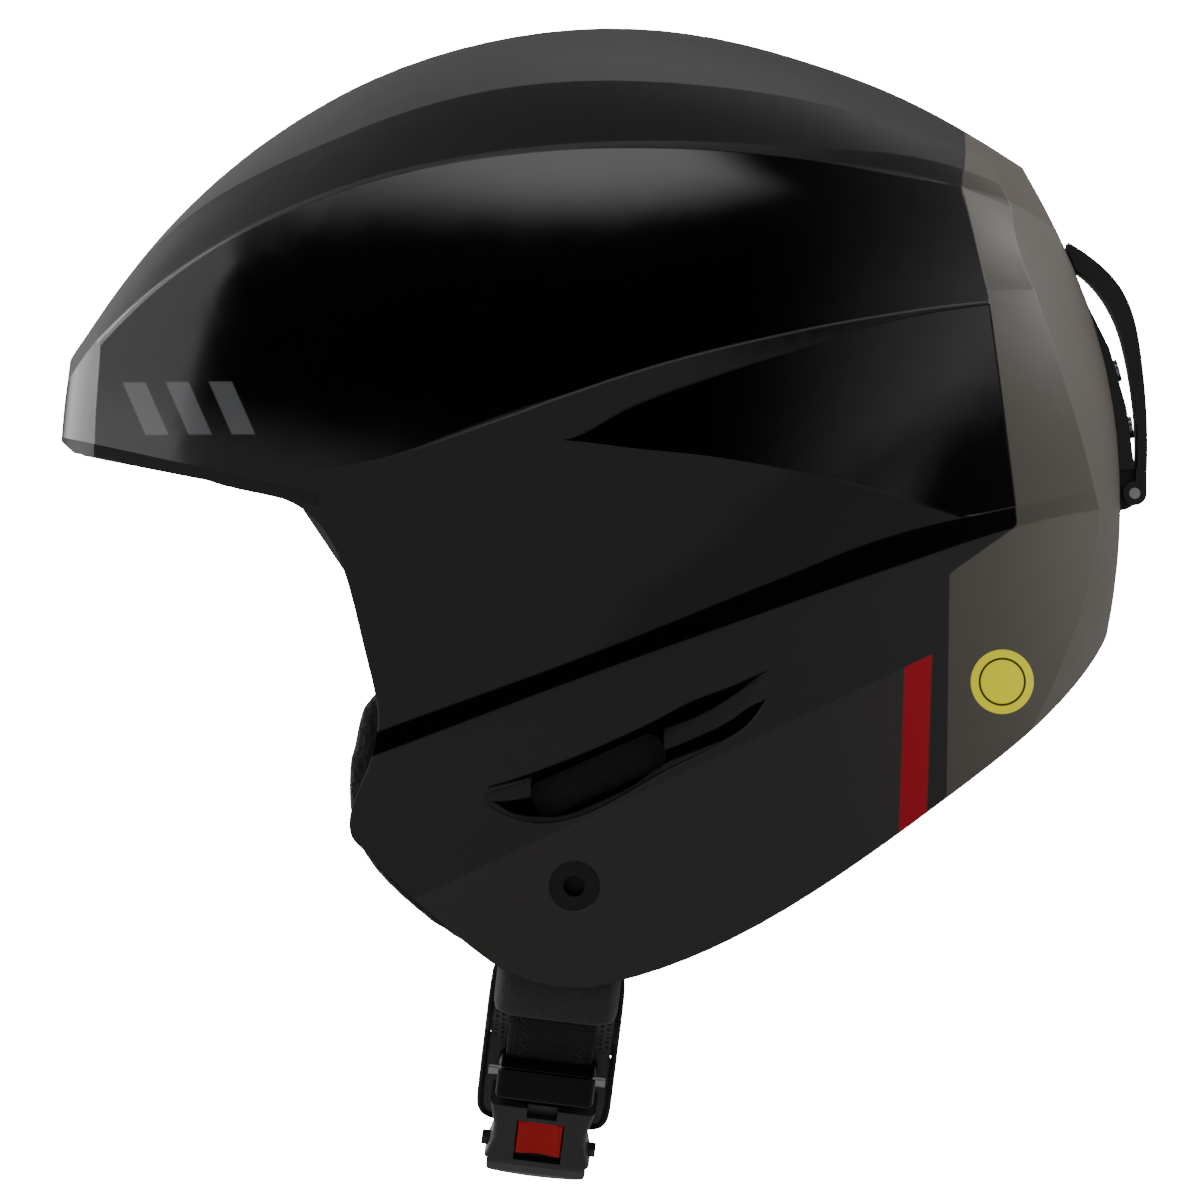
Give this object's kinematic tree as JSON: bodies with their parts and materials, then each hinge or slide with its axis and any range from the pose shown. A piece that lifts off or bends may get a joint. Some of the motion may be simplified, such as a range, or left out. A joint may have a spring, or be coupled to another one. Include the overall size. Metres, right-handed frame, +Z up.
{
  "type": "ski helmet",
  "caption": "Hard-shell race ski helmet with full ear cover, foam liner, rotating inner layer, padded chin strap with push-button buckle, and a goggle strap clip behind.",
  "frame": {"origin": "middle of the head cavity, level with the ear openings and the lower rims of the eyes", "axes": "-X to the front of the helmet, +Z up, +Y to the wearer's right"},
  "size_m": [0.2927, 0.2226, 0.3098],
  "materials": {
    "shell_paint": "painted shell: matte crown, gloss sides, satin lower panel",
    "impact_foam": "black bead foam",
    "black_plastic": "moulded",
    "ear_cloth": "knitted cloth over foam",
    "insert_metal": "blackened threaded insert",
    "rivet_steel": "zinc plated",
    "slip_plastic": "thin low-friction sheet",
    "comfort_cloth": "brushed knit over foam",
    "elastomer": "soft moulded rubber",
    "webbing": "woven",
    "strap_pad_cloth": "pile cloth with bound edge",
    "buckle_plastic": "fine texture",
    "collar_gloss": "polished",
    "bar_steel": "plated",
    "button_red": "moulded red",
    "clip_plastic": "satin moulded"
  },
  "bodies": {
    "helmet": {"outer_shell": "shell_paint", "eps_liner": "impact_foam", "cheek_foam_left": "impact_foam", "cheek_foam_right": "impact_foam", "vent_duct_left": "black_plastic", "vent_duct_right": "black_plastic", "ear_pad_left": "ear_cloth", "ear_pad_right": "ear_cloth", "guard_insert_left": "insert_metal", "guard_insert_right": "insert_metal", "strap_rivet_left": "rivet_steel", "strap_rivet_right": "rivet_steel", "elastomer_front": "elastomer", "elastomer_back": "elastomer", "elastomer_left": "elastomer", "elastomer_right": "elastomer", "clip_base": "clip_plastic", "clip_pin": "bar_steel", "clip_screw_upper": "bar_steel", "clip_screw_lower": "bar_steel"},
    "inner_layer": {"slip_liner": "slip_plastic", "crown_pad": "comfort_cloth", "brow_pad": "comfort_cloth", "rear_pad": "comfort_cloth", "side_pad_left": "comfort_cloth", "side_pad_right": "comfort_cloth"},
    "strap": {"strap_eye_left": "rivet_steel", "strap_eye_right": "rivet_steel", "webbing_left": "webbing", "webbing_right": "webbing", "strap_pad_left": "strap_pad_cloth", "pad_cover_left": "strap_pad_cloth", "ladder_bar": "bar_steel", "buckle_collar": "collar_gloss", "buckle_housing": "buckle_plastic", "button_spring": "bar_steel"},
    "tongue": {"buckle_tongue": "buckle_plastic", "webbing_chin": "webbing"},
    "button": {"release_button": "button_red"},
    "clip": {"clip_arm": "clip_plastic"}
  },
  "joints": [
    {"name": "strap_swing", "type": "hinge", "parent": "helmet", "child": "strap", "pos_m": [-0.00431, 0, -0.0576], "axis": [0, 1, 0], "range_deg": [-15, 20]},
    {"name": "buckle_release", "type": "slide", "parent": "strap", "child": "tongue", "axis": [-0.0806, 0.7501, -0.6564], "range_m": [0, 0.02], "deforming": ["webbing_chin"]},
    {"name": "button_press", "type": "slide", "parent": "strap", "child": "button", "axis": [0.0914, 0.6613, 0.7445], "range_m": [0, 0.0018], "stiffness_N_per_m": 900, "deforming": ["button_spring"]},
    {"name": "clip_open", "type": "hinge", "parent": "helmet", "child": "clip", "pos_m": [0.1466, 0, 0.0395], "axis": [0, 1, 0], "range_deg": [0, 35]},
    {"name": "inner_turn", "type": "hinge", "parent": "helmet", "child": "inner_layer", "pos_m": [0, 0, 0], "axis": [0, 0, 1], "range_deg": [-3, 3], "stiffness_Nm_per_rad": 3, "deforming": ["elastomer_front", "elastomer_back", "elastomer_left", "elastomer_right"]}
  ]
}
